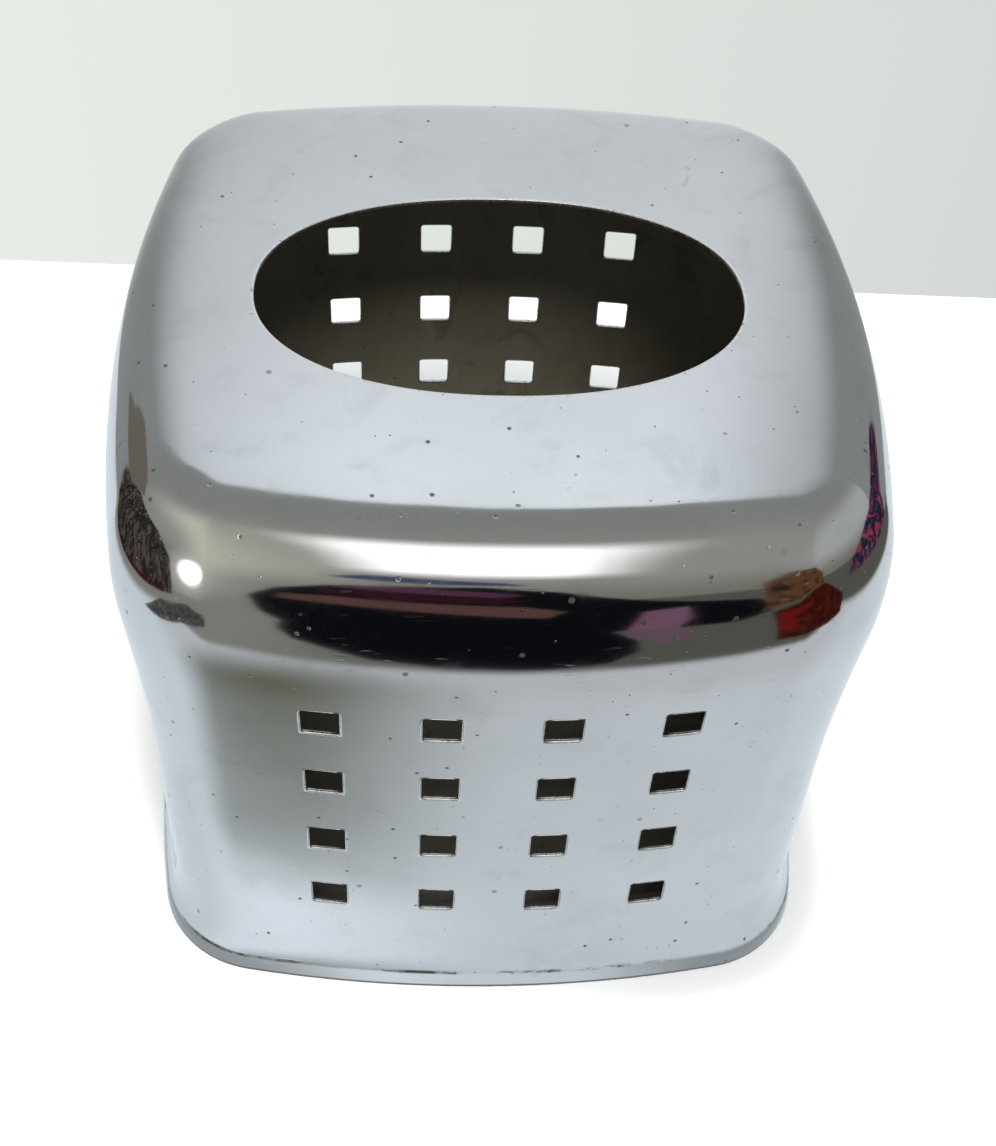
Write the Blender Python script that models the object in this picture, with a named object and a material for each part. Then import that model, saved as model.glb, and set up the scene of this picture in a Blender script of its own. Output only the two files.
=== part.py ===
"""Countertop napkin dispenser: a chromed drawn-steel cover over a removable clip-in base.

Run with: blender --background --python part.py
Metres, +Z up.  The origin is the centre of the footprint, on the surface the part stands on.
+X runs along the long axis of the oval mouth; the perforated walls face -Y and +Y.
"""
import math

import bmesh
import bpy

MM = 0.001

# Driving dimensions of the cover, in millimetres
SHEET = 0.8
OVERALL_HEIGHT = 133.4
WALL_HALF_WIDTH = 73.4
SIDE_BOW_RADIUS = 290.0
CORNER_RADIUS = 21.0
FOOT_FLARE = 3.2
FOOT_HEIGHT = 18.0
FOOT_CURVE = (
    (1.0, 0.0), (0.99, 0.06), (0.90, 0.167), (0.77, 0.25), (0.615, 0.305), (0.43, 0.39),
    (0.265, 0.5), (0.125, 0.667), (0.04, 0.833), (0.0, 1.0))
SHOULDER_SWELL = 3.0
SWELL_CURVE = ((0.0, 0.55), (0.5, 0.85), (1.0, 1.0))
SHOULDER_REACH_SIDE = 11.5
SHOULDER_REACH_CORNER = 12.5
SHOULDER_DROP_SIDE = 25.0
SHOULDER_DROP_CORNER = 29.0
MOUTH_HALF_LENGTH = 47.6
MOUTH_HALF_WIDTH = 30.4
MOUTH_SQUARENESS = 2.2

# Perforations: the same grid through the front and the back wall
GRID_COUNT = 4
GRID_PITCH_X = 22.2
GRID_PITCH_Z = 20.15
GRID_CENTRE_Z = 61.0
PERFORATION = 7.1
PERFORATION_BAR_LENGTH = 180.0

# Driving dimensions of the base, in millimetres
BASE_SHEET = 0.8
BASE_CLEARANCE = 1.8
BASE_UNDERSIDE = 3.2
BASE_FLANGE_TOP = 15.0
BASE_BEND_RADIUS = 2.4
BASE_BEND_STEPS = 4
PANEL_STEP_INSET = 13.0
PANEL_STEP_RUN = 1.6
PANEL_STEP_RISE = 1.2
FIT_GAP = 0.3

RUBBER_FOOT_RADIUS = 4.5
RUBBER_FOOT_EDGE = 0.5
RUBBER_FOOT_SEGMENTS = 24

CLIP_THICKNESS = 0.4
CLIP_WIDTH = 14.0
CLIP_INNER_FOOT = 5.4
CLIP_CROWN_TOP = 13.3
CLIP_CROWN_BOTTOM = 11.7
CLIP_OUTER_TIP = 9.6
CLIP_TIP_LIFT = 0.2
CLIP_BEND_STEPS = 6
RIVET_Z = 7.6
RIVET_SHANK_RADIUS = 1.2
RIVET_HEAD_RADIUS = 2.2
RIVET_HEAD_HEIGHT = 0.8
RIVET_HEAD_CURVE = ((0.6, 1.0), (0.9, 0.5), (1.0, 0.0))
RIVET_TAIL_RADIUS = 1.8
RIVET_TAIL_CREST = 1.45
RIVET_TAIL_HEIGHT = 0.5
RIVET_SEGMENTS = 16
RIVET_DRILL_LENGTH = 10.0

SIDE_STEPS = 8
CORNER_STEPS = 8
SHOULDER_STEPS = 7
SMOOTH_ANGLE = 35.0

TOP_OF_WALL = OVERALL_HEIGHT - SHOULDER_DROP_CORNER
SIDE_NAMES = ("right", "back", "left", "front")
CORNER_NAMES = ("back_right", "back_left", "front_left", "front_right")


def clear_scene():
    for item in list(bpy.data.objects):
        bpy.data.objects.remove(item, do_unlink=True)


def make_material(name, colour, metallic, roughness):
    material = bpy.data.materials.new(name)
    material.use_nodes = True
    shader = material.node_tree.nodes["Principled BSDF"]
    shader.inputs["Base Color"].default_value = (*colour, 1.0)
    shader.inputs["Metallic"].default_value = metallic
    shader.inputs["Roughness"].default_value = roughness
    return material


def make_object(name, mesh_builder, material):
    """Wrap a filled bmesh, given in millimetres, as a named object in metres."""
    bmesh.ops.recalc_face_normals(mesh_builder, faces=mesh_builder.faces)
    bmesh.ops.scale(mesh_builder, vec=(MM, MM, MM), verts=mesh_builder.verts)
    mesh = bpy.data.meshes.new(name)
    mesh_builder.to_mesh(mesh)
    mesh_builder.free()
    mesh.materials.append(material)
    mesh.shade_smooth()
    mesh.set_sharp_from_angle(angle=math.radians(SMOOTH_ANGLE))
    item = bpy.data.objects.new(name, mesh)
    bpy.context.scene.collection.objects.link(item)
    return item


def plan_geometry():
    """Half-angle of each bowed side arc, and the offset of the corner arcs' centres."""
    side_centre = SIDE_BOW_RADIUS - WALL_HALF_WIDTH
    b = 2.0 * side_centre
    c = side_centre ** 2 - (SIDE_BOW_RADIUS - CORNER_RADIUS) ** 2
    corner_centre = (-b + math.sqrt(b * b - 8.0 * c)) / 4.0
    half_angle = math.atan2(corner_centre, corner_centre + side_centre)
    return side_centre, corner_centre, half_angle


def plan_stations():
    """Points round the rounded-square plan: arc centre, arc radius and direction of the normal."""
    side_centre, corner_centre, half_angle = plan_geometry()
    stations = []
    for quarter in range(4):
        turn = quarter * math.pi / 2.0
        for step in range(SIDE_STEPS):
            angle = -half_angle + 2.0 * half_angle * step / SIDE_STEPS
            stations.append((-side_centre, 0.0, SIDE_BOW_RADIUS, angle, turn))
        for step in range(CORNER_STEPS):
            angle = half_angle + (math.pi / 2.0 - 2.0 * half_angle) * step / CORNER_STEPS
            stations.append((corner_centre, corner_centre, CORNER_RADIUS, angle, turn))
    return stations


def plan_point(station, outset):
    """A point of the plan, moved outwards along its normal."""
    centre_x, centre_y, radius, angle, turn = station
    x = centre_x + (radius + outset) * math.cos(angle)
    y = centre_y + (radius + outset) * math.sin(angle)
    return (x * math.cos(turn) - y * math.sin(turn), x * math.sin(turn) + y * math.cos(turn))


def corner_share(station):
    """0 in the middle of a side, 1 in the middle of a corner."""
    return math.sin(2.0 * station[3]) ** 2


def mouth_point(x, y):
    """The point of the oval mouth that lies in the direction of (x, y)."""
    power = MOUTH_SQUARENESS
    along = abs(x / MOUTH_HALF_LENGTH) ** power
    across = abs(y / MOUTH_HALF_WIDTH) ** power
    size = (along + across) ** (1.0 / power)
    return (x / size, y / size)


def add_ring(mesh_builder, points):
    return [mesh_builder.verts.new(point) for point in points]


def bridge(mesh_builder, lower, upper):
    count = len(lower)
    for index in range(count):
        following = (index + 1) % count
        mesh_builder.faces.new((lower[index], lower[following], upper[following], upper[index]))


def bridge_all(mesh_builder, rings, closed):
    for lower, upper in zip(rings, rings[1:]):
        bridge(mesh_builder, lower, upper)
    if closed:
        bridge(mesh_builder, rings[-1], rings[0])


def wall_profile():
    """Outset and height pairs of the cover's outer face, from the foot to the shoulder."""
    foot = [(FOOT_FLARE * share, FOOT_HEIGHT * rise) for share, rise in FOOT_CURVE]
    swell = [(SHOULDER_SWELL * share, TOP_OF_WALL * rise) for share, rise in SWELL_CURVE]
    return foot + swell


def cover_rings(mesh_builder, stations, depth):
    """Rings of one face of the cover; depth is measured inwards from the outer face."""
    rings = []
    for outset, height in wall_profile():
        rings.append(add_ring(mesh_builder, [
            (*plan_point(station, outset - depth), height) for station in stations]))
    for step in range(1, SHOULDER_STEPS + 1):
        turn = math.pi / 2.0 * step / SHOULDER_STEPS
        points = []
        for station in stations:
            share = corner_share(station)
            reach = SHOULDER_REACH_SIDE + (SHOULDER_REACH_CORNER - SHOULDER_REACH_SIDE) * share
            drop = SHOULDER_DROP_SIDE + (SHOULDER_DROP_CORNER - SHOULDER_DROP_SIDE) * share
            outset = SHOULDER_SWELL - depth - (reach - depth) * (1.0 - math.cos(turn))
            height = OVERALL_HEIGHT - depth - (drop - depth) * (1.0 - math.sin(turn))
            points.append((*plan_point(station, outset), height))
        rings.append(add_ring(mesh_builder, points))
    top = OVERALL_HEIGHT - depth
    rings.append(add_ring(mesh_builder, [
        (*mouth_point(*plan_point(station, 0.0)), top) for station in stations]))
    return rings


def add_perforation_cutters(cover):
    """Square bars along Y, each cutting one perforation in the front wall and one in the back."""
    group = bpy.data.collections.new("perforation_cutters")
    bpy.context.scene.collection.children.link(group)
    mesh = bpy.data.meshes.new("perforation_bar")
    bar = bmesh.new()
    bmesh.ops.create_cube(bar, size=1.0)
    size = (PERFORATION * MM, PERFORATION_BAR_LENGTH * MM, PERFORATION * MM)
    bmesh.ops.scale(bar, vec=size, verts=bar.verts)
    bar.to_mesh(mesh)
    bar.free()
    middle = (GRID_COUNT - 1) / 2.0
    for row in range(GRID_COUNT):
        for column in range(GRID_COUNT):
            cutter = bpy.data.objects.new(f"perforation_bar_{row}{column}", mesh)
            group.objects.link(cutter)
            x = (column - middle) * GRID_PITCH_X
            z = GRID_CENTRE_Z + (row - middle) * GRID_PITCH_Z
            cutter.location = (x * MM, 0.0, z * MM)
            cutter.hide_render = True
            cutter.display_type = "WIRE"
            cutter.parent = cover
    cut = cover.modifiers.new("perforations", "BOOLEAN")
    cut.operation = "DIFFERENCE"
    cut.operand_type = "COLLECTION"
    cut.collection = group
    cut.solver = "EXACT"


def make_cover(material):
    """Drawn steel cover: flared foot, bowed walls, soft shoulder and a flat top with an oval mouth."""
    stations = plan_stations()
    mesh_builder = bmesh.new()
    outer = cover_rings(mesh_builder, stations, 0.0)
    inner = cover_rings(mesh_builder, stations, SHEET)
    bridge_all(mesh_builder, outer + inner[::-1], closed=True)
    cover = make_object("cover_shell", mesh_builder, material)
    add_perforation_cutters(cover)
    return cover


def base_flange_outset():
    """Outset of the base flange's outer face from the cover's outer wall."""
    return -SHEET - BASE_CLEARANCE


def base_rings(mesh_builder, stations, depth):
    """Rings of one face of the base, from the flange's top edge to the middle of the panel."""
    flange = base_flange_outset() - depth
    underside = BASE_UNDERSIDE + depth
    bend = BASE_BEND_RADIUS - depth
    profile = [(flange, BASE_FLANGE_TOP)]
    for step in range(BASE_BEND_STEPS + 1):
        turn = math.pi / 2.0 * step / BASE_BEND_STEPS
        outset = flange - bend * (1.0 - math.cos(turn))
        profile.append((outset, underside + bend * (1.0 - math.sin(turn))))
    panel = base_flange_outset() - PANEL_STEP_INSET
    profile.append((panel, underside))
    profile.append((panel - PANEL_STEP_RUN, underside + PANEL_STEP_RISE))
    rings = []
    for outset, height in profile:
        rings.append(add_ring(mesh_builder, [
            (*plan_point(station, outset), height) for station in stations]))
    return rings


def flange_face(depth):
    """Distance from the part's axis to the base flange, in the middle of a side."""
    return WALL_HALF_WIDTH + base_flange_outset() - depth


def make_base(material):
    """Pressed base panel with a turned-up flange, a raised centre and four rivet holes."""
    stations = plan_stations()
    mesh_builder = bmesh.new()
    outer = base_rings(mesh_builder, stations, 0.0)
    inner = base_rings(mesh_builder, stations, BASE_SHEET)
    bridge_all(mesh_builder, outer[::-1] + inner, closed=False)
    mesh_builder.faces.new(outer[-1])
    mesh_builder.faces.new(inner[-1])
    base = make_object("base_plate", mesh_builder, material)
    for index, side in enumerate(SIDE_NAMES):
        cutter = add_rivet_cutter(f"rivet_hole_base_{side}", index)
        cut = base.modifiers.new(f"rivet_hole_{side}", "BOOLEAN")
        cut.operation = "DIFFERENCE"
        cut.object = cutter
        cut.solver = "EXACT"
    return base


def place_on_side(item, index):
    """Turn a piece that was made on the +X side to one of the four sides."""
    item.rotation_euler = (0.0, 0.0, index * math.pi / 2.0)


def add_rivet_cutter(name, index):
    """A short drill along the side's normal, at the rivet's height."""
    drill = bmesh.new()
    radius = RIVET_SHANK_RADIUS + FIT_GAP
    bmesh.ops.create_cone(drill, segments=RIVET_SEGMENTS, radius1=radius, radius2=radius,
                          depth=RIVET_DRILL_LENGTH, cap_ends=True)
    mesh = bpy.data.meshes.new(name)
    for vertex in drill.verts:
        x, y, z = vertex.co
        vertex.co = ((z + flange_face(0.0)) * MM, y * MM, (RIVET_Z - x) * MM)
    drill.to_mesh(mesh)
    drill.free()
    cutter = bpy.data.objects.new(name, mesh)
    bpy.context.scene.collection.objects.link(cutter)
    cutter.hide_render = True
    cutter.display_type = "WIRE"
    place_on_side(cutter, index)
    return cutter


def clip_centre_line():
    """The clip's middle line in X and Z: up inside the flange, over its edge, out to the cover."""
    half = CLIP_THICKNESS / 2.0
    inner = flange_face(BASE_SHEET) - FIT_GAP - half
    outer = flange_face(0.0) + FIT_GAP + half
    crown = WALL_HALF_WIDTH - SHEET - FIT_GAP - half
    bend_centre = (inner + outer) / 2.0
    bend_radius = (outer - inner) / 2.0
    line = [(inner, CLIP_INNER_FOOT), (inner, BASE_FLANGE_TOP)]
    for step in range(1, CLIP_BEND_STEPS + 1):
        turn = math.pi * step / CLIP_BEND_STEPS
        line.append((bend_centre - bend_radius * math.cos(turn),
                     BASE_FLANGE_TOP + FIT_GAP + bend_radius * math.sin(turn)))
    line.append((crown, CLIP_CROWN_TOP))
    line.append((crown, CLIP_CROWN_BOTTOM))
    line.append((outer + CLIP_TIP_LIFT, CLIP_OUTER_TIP))
    return line


def offset_line(line, distance):
    """A polyline moved sideways by distance, with mitred corners."""
    moved = []
    for index, (x, z) in enumerate(line):
        before = line[max(index - 1, 0)]
        after = line[min(index + 1, len(line) - 1)]
        normals = []
        for start, end in ((before, (x, z)), ((x, z), after)):
            run = end[0] - start[0]
            rise = end[1] - start[1]
            length = math.hypot(run, rise)
            if length > 0.0:
                normals.append((-rise / length, run / length))
        normal_x = sum(n[0] for n in normals) / len(normals)
        normal_z = sum(n[1] for n in normals) / len(normals)
        square = normal_x ** 2 + normal_z ** 2
        moved.append((x + distance * normal_x / square, z + distance * normal_z / square))
    return moved


def make_clip(name, index, material):
    """Hairpin spring clip over the base flange, gripping the inside of the cover."""
    half = CLIP_THICKNESS / 2.0
    line = clip_centre_line()
    outline = offset_line(line, half) + offset_line(line, -half)[::-1]
    mesh_builder = bmesh.new()
    near = add_ring(mesh_builder, [(x, -CLIP_WIDTH / 2.0, z) for x, z in outline])
    far = add_ring(mesh_builder, [(x, CLIP_WIDTH / 2.0, z) for x, z in outline])
    bridge(mesh_builder, near, far)
    count = len(line)
    for ring in (near, far):
        for step in range(count - 1):
            mirror = 2 * count - 1 - step
            mesh_builder.faces.new((ring[step], ring[step + 1], ring[mirror - 1], ring[mirror]))
    clip = make_object(name, mesh_builder, material)
    place_on_side(clip, index)
    cutter = add_rivet_cutter(f"rivet_hole_{name}", index)
    cut = clip.modifiers.new("rivet_hole", "BOOLEAN")
    cut.operation = "DIFFERENCE"
    cut.object = cutter
    cut.solver = "EXACT"
    return clip


def turned_body(profile, segments):
    """A closed turned body about Z from a list of radius and height pairs, capped at both ends."""
    mesh_builder = bmesh.new()
    rings = []
    for radius, height in profile:
        rings.append(add_ring(mesh_builder, [
            (radius * math.cos(2.0 * math.pi * step / segments),
             radius * math.sin(2.0 * math.pi * step / segments), height)
            for step in range(segments)]))
    bridge_all(mesh_builder, rings, closed=False)
    mesh_builder.faces.new(rings[0])
    mesh_builder.faces.new(rings[-1])
    return mesh_builder


def make_rivet(name, index, material):
    """Rivet through the clip's inner leg and the base flange, its domed head on the inside."""
    head_face = CLIP_THICKNESS + BASE_SHEET + 3.0 * FIT_GAP
    tail_face = -FIT_GAP
    profile = [
        (RIVET_HEAD_RADIUS * share, head_face + RIVET_HEAD_HEIGHT * rise)
        for share, rise in RIVET_HEAD_CURVE]
    profile += [
        (RIVET_SHANK_RADIUS, head_face),
        (RIVET_SHANK_RADIUS, tail_face),
        (RIVET_TAIL_RADIUS, tail_face),
        (RIVET_TAIL_CREST, tail_face - RIVET_TAIL_HEIGHT),
    ]
    mesh_builder = turned_body(profile, RIVET_SEGMENTS)
    for vertex in mesh_builder.verts:
        x, y, z = vertex.co
        vertex.co = (flange_face(0.0) - z, y, RIVET_Z + x)
    rivet = make_object(name, mesh_builder, material)
    place_on_side(rivet, index)
    return rivet


def make_rubber_foot(name, index, material):
    """Stick-on rubber bumper under the flat border of the base panel, in one corner."""
    top = BASE_UNDERSIDE - FIT_GAP
    profile = [
        (RUBBER_FOOT_RADIUS - 2.0 * RUBBER_FOOT_EDGE, 0.0),
        (RUBBER_FOOT_RADIUS - RUBBER_FOOT_EDGE, RUBBER_FOOT_EDGE),
        (RUBBER_FOOT_RADIUS, top),
    ]
    foot = make_object(name, turned_body(profile, RUBBER_FOOT_SEGMENTS), material)
    corner_centre = plan_geometry()[1]
    border_middle = base_flange_outset() - (BASE_BEND_RADIUS + PANEL_STEP_INSET) / 2.0
    corner = (corner_centre, corner_centre, CORNER_RADIUS, math.pi / 4.0, index * math.pi / 2.0)
    x, y = plan_point(corner, border_middle)
    foot.location = (x * MM, y * MM, 0.0)
    return foot


def main():
    clear_scene()
    chrome = make_material("chromed_steel", (0.62, 0.63, 0.64), 1.0, 0.14)
    satin = make_material("satin_steel", (0.42, 0.40, 0.36), 1.0, 0.38)
    spring = make_material("spring_steel", (0.34, 0.35, 0.36), 1.0, 0.30)
    aluminium = make_material("rivet_aluminium", (0.70, 0.70, 0.70), 1.0, 0.35)
    rubber = make_material("black_rubber", (0.02, 0.02, 0.02), 0.0, 0.80)

    cover_lift = bpy.data.objects.new("cover_lift_axis", None)
    bpy.context.scene.collection.objects.link(cover_lift)
    make_cover(chrome).parent = cover_lift

    base = make_base(satin)
    for index, side in enumerate(SIDE_NAMES):
        make_clip(f"base_clip_{side}", index, spring).parent = base
        make_rivet(f"clip_rivet_{side}", index, aluminium).parent = base
    for index, corner in enumerate(CORNER_NAMES):
        make_rubber_foot(f"rubber_foot_{corner}", index, rubber).parent = base


main()
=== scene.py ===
"""Napkin dispenser on a pale studio floor.

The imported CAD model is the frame.  A finely built chrome cover rides on the body "cover" in place
of the CAD shell.  The base plate, spring clips, rivets and rubber feet keep their CAD meshes, with
finishes and rounded edges of their own.  Lengths in the tables are millimetres unless a comment
says metres, in the frame of the CAD: +Z up, perforated walls facing -Y and +Y.
"""

import math

import bpy
import numpy as np
from mathutils import Matrix, Vector


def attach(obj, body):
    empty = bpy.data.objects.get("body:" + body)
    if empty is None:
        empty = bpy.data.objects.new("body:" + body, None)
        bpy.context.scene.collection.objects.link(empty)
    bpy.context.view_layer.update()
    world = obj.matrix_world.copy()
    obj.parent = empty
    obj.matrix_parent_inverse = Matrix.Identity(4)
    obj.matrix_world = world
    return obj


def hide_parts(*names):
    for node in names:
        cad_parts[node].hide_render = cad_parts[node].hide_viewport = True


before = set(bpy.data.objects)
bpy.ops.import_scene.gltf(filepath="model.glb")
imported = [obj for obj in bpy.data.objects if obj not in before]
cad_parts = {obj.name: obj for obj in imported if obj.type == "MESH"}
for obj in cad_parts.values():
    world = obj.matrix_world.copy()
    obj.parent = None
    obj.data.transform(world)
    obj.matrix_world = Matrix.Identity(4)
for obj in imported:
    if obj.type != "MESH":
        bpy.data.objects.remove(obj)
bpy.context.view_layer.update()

MM = 0.001

# Cover, the same driving dimensions as the CAD
SHEET = 0.8
OVERALL_HEIGHT = 133.4
WALL_HALF_WIDTH = 73.4
SIDE_BOW_RADIUS = 290.0
CORNER_RADIUS = 21.0
SHOULDER_SWELL = 3.0
SWELL_START = 57.4
SWELL_POWER = 1.7
TOP_OF_WALL = 104.4
SHOULDER_REACH = (18.0, 19.0)
SHOULDER_DROP = (25.0, 29.0)
SHOULDER_TILT = (
    (0.0, 0.0), (2.0, 1.5), (4.0, 4.0), (6.0, 8.5), (8.0, 16.0), (10.0, 28.0), (12.0, 41.0),
    (14.0, 52.0), (16.0, 60.0), (19.0, 68.0), (23.0, 75.5), (29.0, 83.5), (36.0, 90.0))
MOUTH_HALF_LENGTH = 47.6
MOUTH_HALF_WIDTH = 30.4
MOUTH_SQUARENESS = 2.2
GRID_COUNT = 4
GRID_PITCH_X = 22.2
GRID_PITCH_Z = 20.15
GRID_CENTRE_Z = 61.0
PERFORATION = 7.1

# Finish of the cover's edges
EDGE_ROUND = 0.25
HOLE_CORNER = 0.7
FOOT_CURVE = (
    (2.95, 0.0), (3.13, 0.10), (3.20, 0.35), (3.20, 0.9), (3.14, 1.5), (3.03, 2.2), (2.90, 3.0),
    (2.74, 3.7), (2.54, 4.3), (2.40, 4.6), (2.22, 4.95), (1.98, 5.5), (1.76, 6.0), (1.38, 7.0),
    (1.08, 8.0), (0.85, 9.0), (0.67, 10.0), (0.40, 12.0), (0.24, 13.6), (0.12, 15.0), (0.04, 16.5),
    (0.0, 18.0))
ROUND_STEPS = ((1.0, 0.0), (0.5, 0.13), (0.13, 0.5), (0.0, 1.0))

# Spacing of the mesh's points round the plan and up the section
LINE_SPACING = 2.2
SIDE_STEPS = 44
CORNER_STEPS = 26
FOOT_MARGIN = 1.5
ROWS_UP_TO = 97.5
SHOULDER_ROWS = 46
TOP_ROWS = 12
TOP_CROWDING = 0.8
MOUTH_SUPPORT = 0.35
HOLE_SUPPORTS = (0.3, 0.9)
NEAR = 0.01

# Which of the cover's three materials a face has
OUTSIDE, INSIDE, CUT = range(3)
# Each pierced wall: its quarter turn from +X, and the sign of Y on it
PIERCED_SIDES = ((1, 1.0), (3, -1.0))

# Section of the cover: how it is sampled and rounded
SECTION_START = 20.0
SECTION_OVERRUN = 12.0
SECTION_STEP = 0.4
SWELL_STEPS = 80
TEMPLATE_STEPS = 240
WALL_SOFTNESS = 4.0
CROWN_SOFTNESS = 0.8
CROWN_BLEND_START = 1.0
CROWN_BLEND_LENGTH = 12.0
FLAT_TOLERANCE = 0.002


# ---------------------------------------------------------------- plan of the cover

def plan_geometry():
    """Centre of the side arcs, offset of the corner arcs' centres, and half-angle of a side arc."""
    side_centre = SIDE_BOW_RADIUS - WALL_HALF_WIDTH
    b = 2.0 * side_centre
    c = side_centre ** 2 - (SIDE_BOW_RADIUS - CORNER_RADIUS) ** 2
    corner_centre = (-b + math.sqrt(b * b - 8.0 * c)) / 4.0
    half_angle = math.atan2(corner_centre, corner_centre + side_centre)
    return side_centre, corner_centre, half_angle


SIDE_CENTRE, CORNER_CENTRE, HALF_ANGLE = plan_geometry()


def filled(lines, low, high, spacing):
    """The given lines between low and high, with even ones added wherever the gap is wider."""
    fixed = [low] + [line for line in lines if low < line < high] + [high]
    out = []
    for start, end in zip(fixed, fixed[1:]):
        pieces = max(1, math.ceil((end - start) / spacing))
        out += [start + (end - start) * step / pieces for step in range(pieces)]
    return out + [high]


def hole_centres(pitch, centre):
    return [centre + (index - (GRID_COUNT - 1) / 2.0) * pitch for index in range(GRID_COUNT)]


HOLE_EDGE = PERFORATION / 2.0 + EDGE_ROUND
HOLE_LINES = (-HOLE_EDGE - HOLE_SUPPORTS[1], -HOLE_EDGE - HOLE_SUPPORTS[0], -HOLE_EDGE,
              -HOLE_EDGE + HOLE_CORNER, 0.0, HOLE_EDGE - HOLE_CORNER, HOLE_EDGE,
              HOLE_EDGE + HOLE_SUPPORTS[0], HOLE_EDGE + HOLE_SUPPORTS[1])
HOLE_X = hole_centres(GRID_PITCH_X, 0.0)
HOLE_Z = hole_centres(GRID_PITCH_Z, GRID_CENTRE_Z)
# How far a hole's edge has closed in, in edge rounds, and its depth in the sheet
HOLE_PROFILE = ([(1.0 - away, down * EDGE_ROUND) for away, down in ROUND_STEPS[1:]]
                + [(1.0 - away, SHEET - down * EDGE_ROUND) for away, down in ROUND_STEPS[:0:-1]])


def stations():
    """Points round the plan: arc centre, arc radius, direction of the normal, turn of the side."""
    end_x = SIDE_BOW_RADIUS * math.sin(HALF_ANGLE)
    columns = sorted(x + line for x in HOLE_X for line in HOLE_LINES)
    pierced = [math.asin(x / SIDE_BOW_RADIUS)
               for x in filled(columns, -end_x, end_x, LINE_SPACING)]
    plain = [-HALF_ANGLE + 2.0 * HALF_ANGLE * step / SIDE_STEPS for step in range(SIDE_STEPS + 1)]
    out = []
    for quarter in range(4):
        turn = quarter * math.pi / 2.0
        for angle in (plain if quarter % 2 == 0 else pierced)[:-1]:
            out.append((-SIDE_CENTRE, 0.0, SIDE_BOW_RADIUS, angle, turn))
        for step in range(CORNER_STEPS):
            angle = HALF_ANGLE + (math.pi / 2.0 - 2.0 * HALF_ANGLE) * step / CORNER_STEPS
            out.append((CORNER_CENTRE, CORNER_CENTRE, CORNER_RADIUS, angle, turn))
    return out


def plan_point(station, outset):
    centre_x, centre_y, radius, angle, turn = station
    x = centre_x + (radius + outset) * math.cos(angle)
    y = centre_y + (radius + outset) * math.sin(angle)
    return (x * math.cos(turn) - y * math.sin(turn), x * math.sin(turn) + y * math.cos(turn))


def cover_point(station, outset, height):
    return (*plan_point(station, float(outset)), float(height))


def mouth_point(x, y, outset):
    """The point of the oval mouth in the direction of (x, y), moved outwards."""
    along = abs(x / MOUTH_HALF_LENGTH) ** MOUTH_SQUARENESS
    across = abs(y / MOUTH_HALF_WIDTH) ** MOUTH_SQUARENESS
    size = (along + across) ** (1.0 / MOUTH_SQUARENESS)
    grow = 1.0 + outset / math.hypot(x / size, y / size)
    return (x / size * grow, y / size * grow)


# ---------------------------------------------------------------- section of the cover

def smoothed(points, sigma):
    """A polyline of even step, rounded with a bell-shaped weight of the given width."""
    reach = int(4.0 * sigma / SECTION_STEP)
    offsets = np.arange(-reach, reach + 1) * SECTION_STEP
    weights = np.exp(-0.5 * (offsets / sigma) ** 2)
    weights /= weights.sum()
    padded = np.vstack([
        points[0] + (points[0] - points[1]) * np.arange(reach, 0, -1)[:, None], points,
        points[-1] + (points[-1] - points[-2]) * np.arange(1, reach + 1)[:, None]])
    return np.stack([np.convolve(padded[:, axis], weights, "valid") for axis in (0, 1)], axis=1)


def shoulder_template():
    """The shoulder from flat to upright, as shares of its reach and drop, from tilt by length."""
    arc, tilt = np.array(SHOULDER_TILT).T
    even = np.linspace(arc[0], arc[-1], TEMPLATE_STEPS)
    slope = np.radians(np.interp(even, arc, tilt))
    points = np.stack([np.cumsum(np.cos(slope)), np.cumsum(np.sin(slope))], axis=1)
    points -= points[0]
    return points / points[-1]


def section(share):
    """Fine outer section from mid-wall over the shoulder to the flat top, and its inner twin."""
    reach = SHOULDER_REACH[0] + (SHOULDER_REACH[1] - SHOULDER_REACH[0]) * share
    drop = SHOULDER_DROP[0] + (SHOULDER_DROP[1] - SHOULDER_DROP[0]) * share
    rise = np.linspace(0.0, 1.0, SWELL_STEPS)[:-1]
    wall = np.stack([SHOULDER_SWELL * rise ** SWELL_POWER,
                     SWELL_START + (TOP_OF_WALL - SWELL_START) * rise], axis=1)
    flat_start = SHOULDER_SWELL - reach
    bend = (shoulder_template() * (reach, -drop) + (flat_start, OVERALL_HEIGHT))[::-1]
    line = np.vstack([[[0.0, SECTION_START]], wall, bend,
                      [[flat_start - SECTION_OVERRUN, OVERALL_HEIGHT]]])
    length = np.concatenate([[0.0], np.cumsum(np.hypot(*np.diff(line, axis=0).T))])
    even = np.arange(0.0, length[-1], SECTION_STEP)
    points = np.stack([np.interp(even, length, line[:, axis]) for axis in (0, 1)], axis=1)
    above = points[:, 1] - (OVERALL_HEIGHT - drop) - CROWN_BLEND_START
    mix = np.clip(above / CROWN_BLEND_LENGTH, 0.0, 1.0)
    mix = (mix * mix * (3.0 - 2.0 * mix))[:, None]
    outer = smoothed(points, WALL_SOFTNESS) * (1.0 - mix) + smoothed(points, CROWN_SOFTNESS) * mix
    tangent = np.gradient(outer, axis=0)
    tangent /= np.hypot(*tangent.T)[:, None]
    inner = outer - SHEET * np.stack([tangent[:, 1], -tangent[:, 0]], axis=1)
    return outer, inner


def row_heights():
    rows = sorted(z + line for z in HOLE_Z for line in HOLE_LINES)
    return filled(rows, FOOT_CURVE[-1][1] + FOOT_MARGIN, ROWS_UP_TO, LINE_SPACING)


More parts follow.
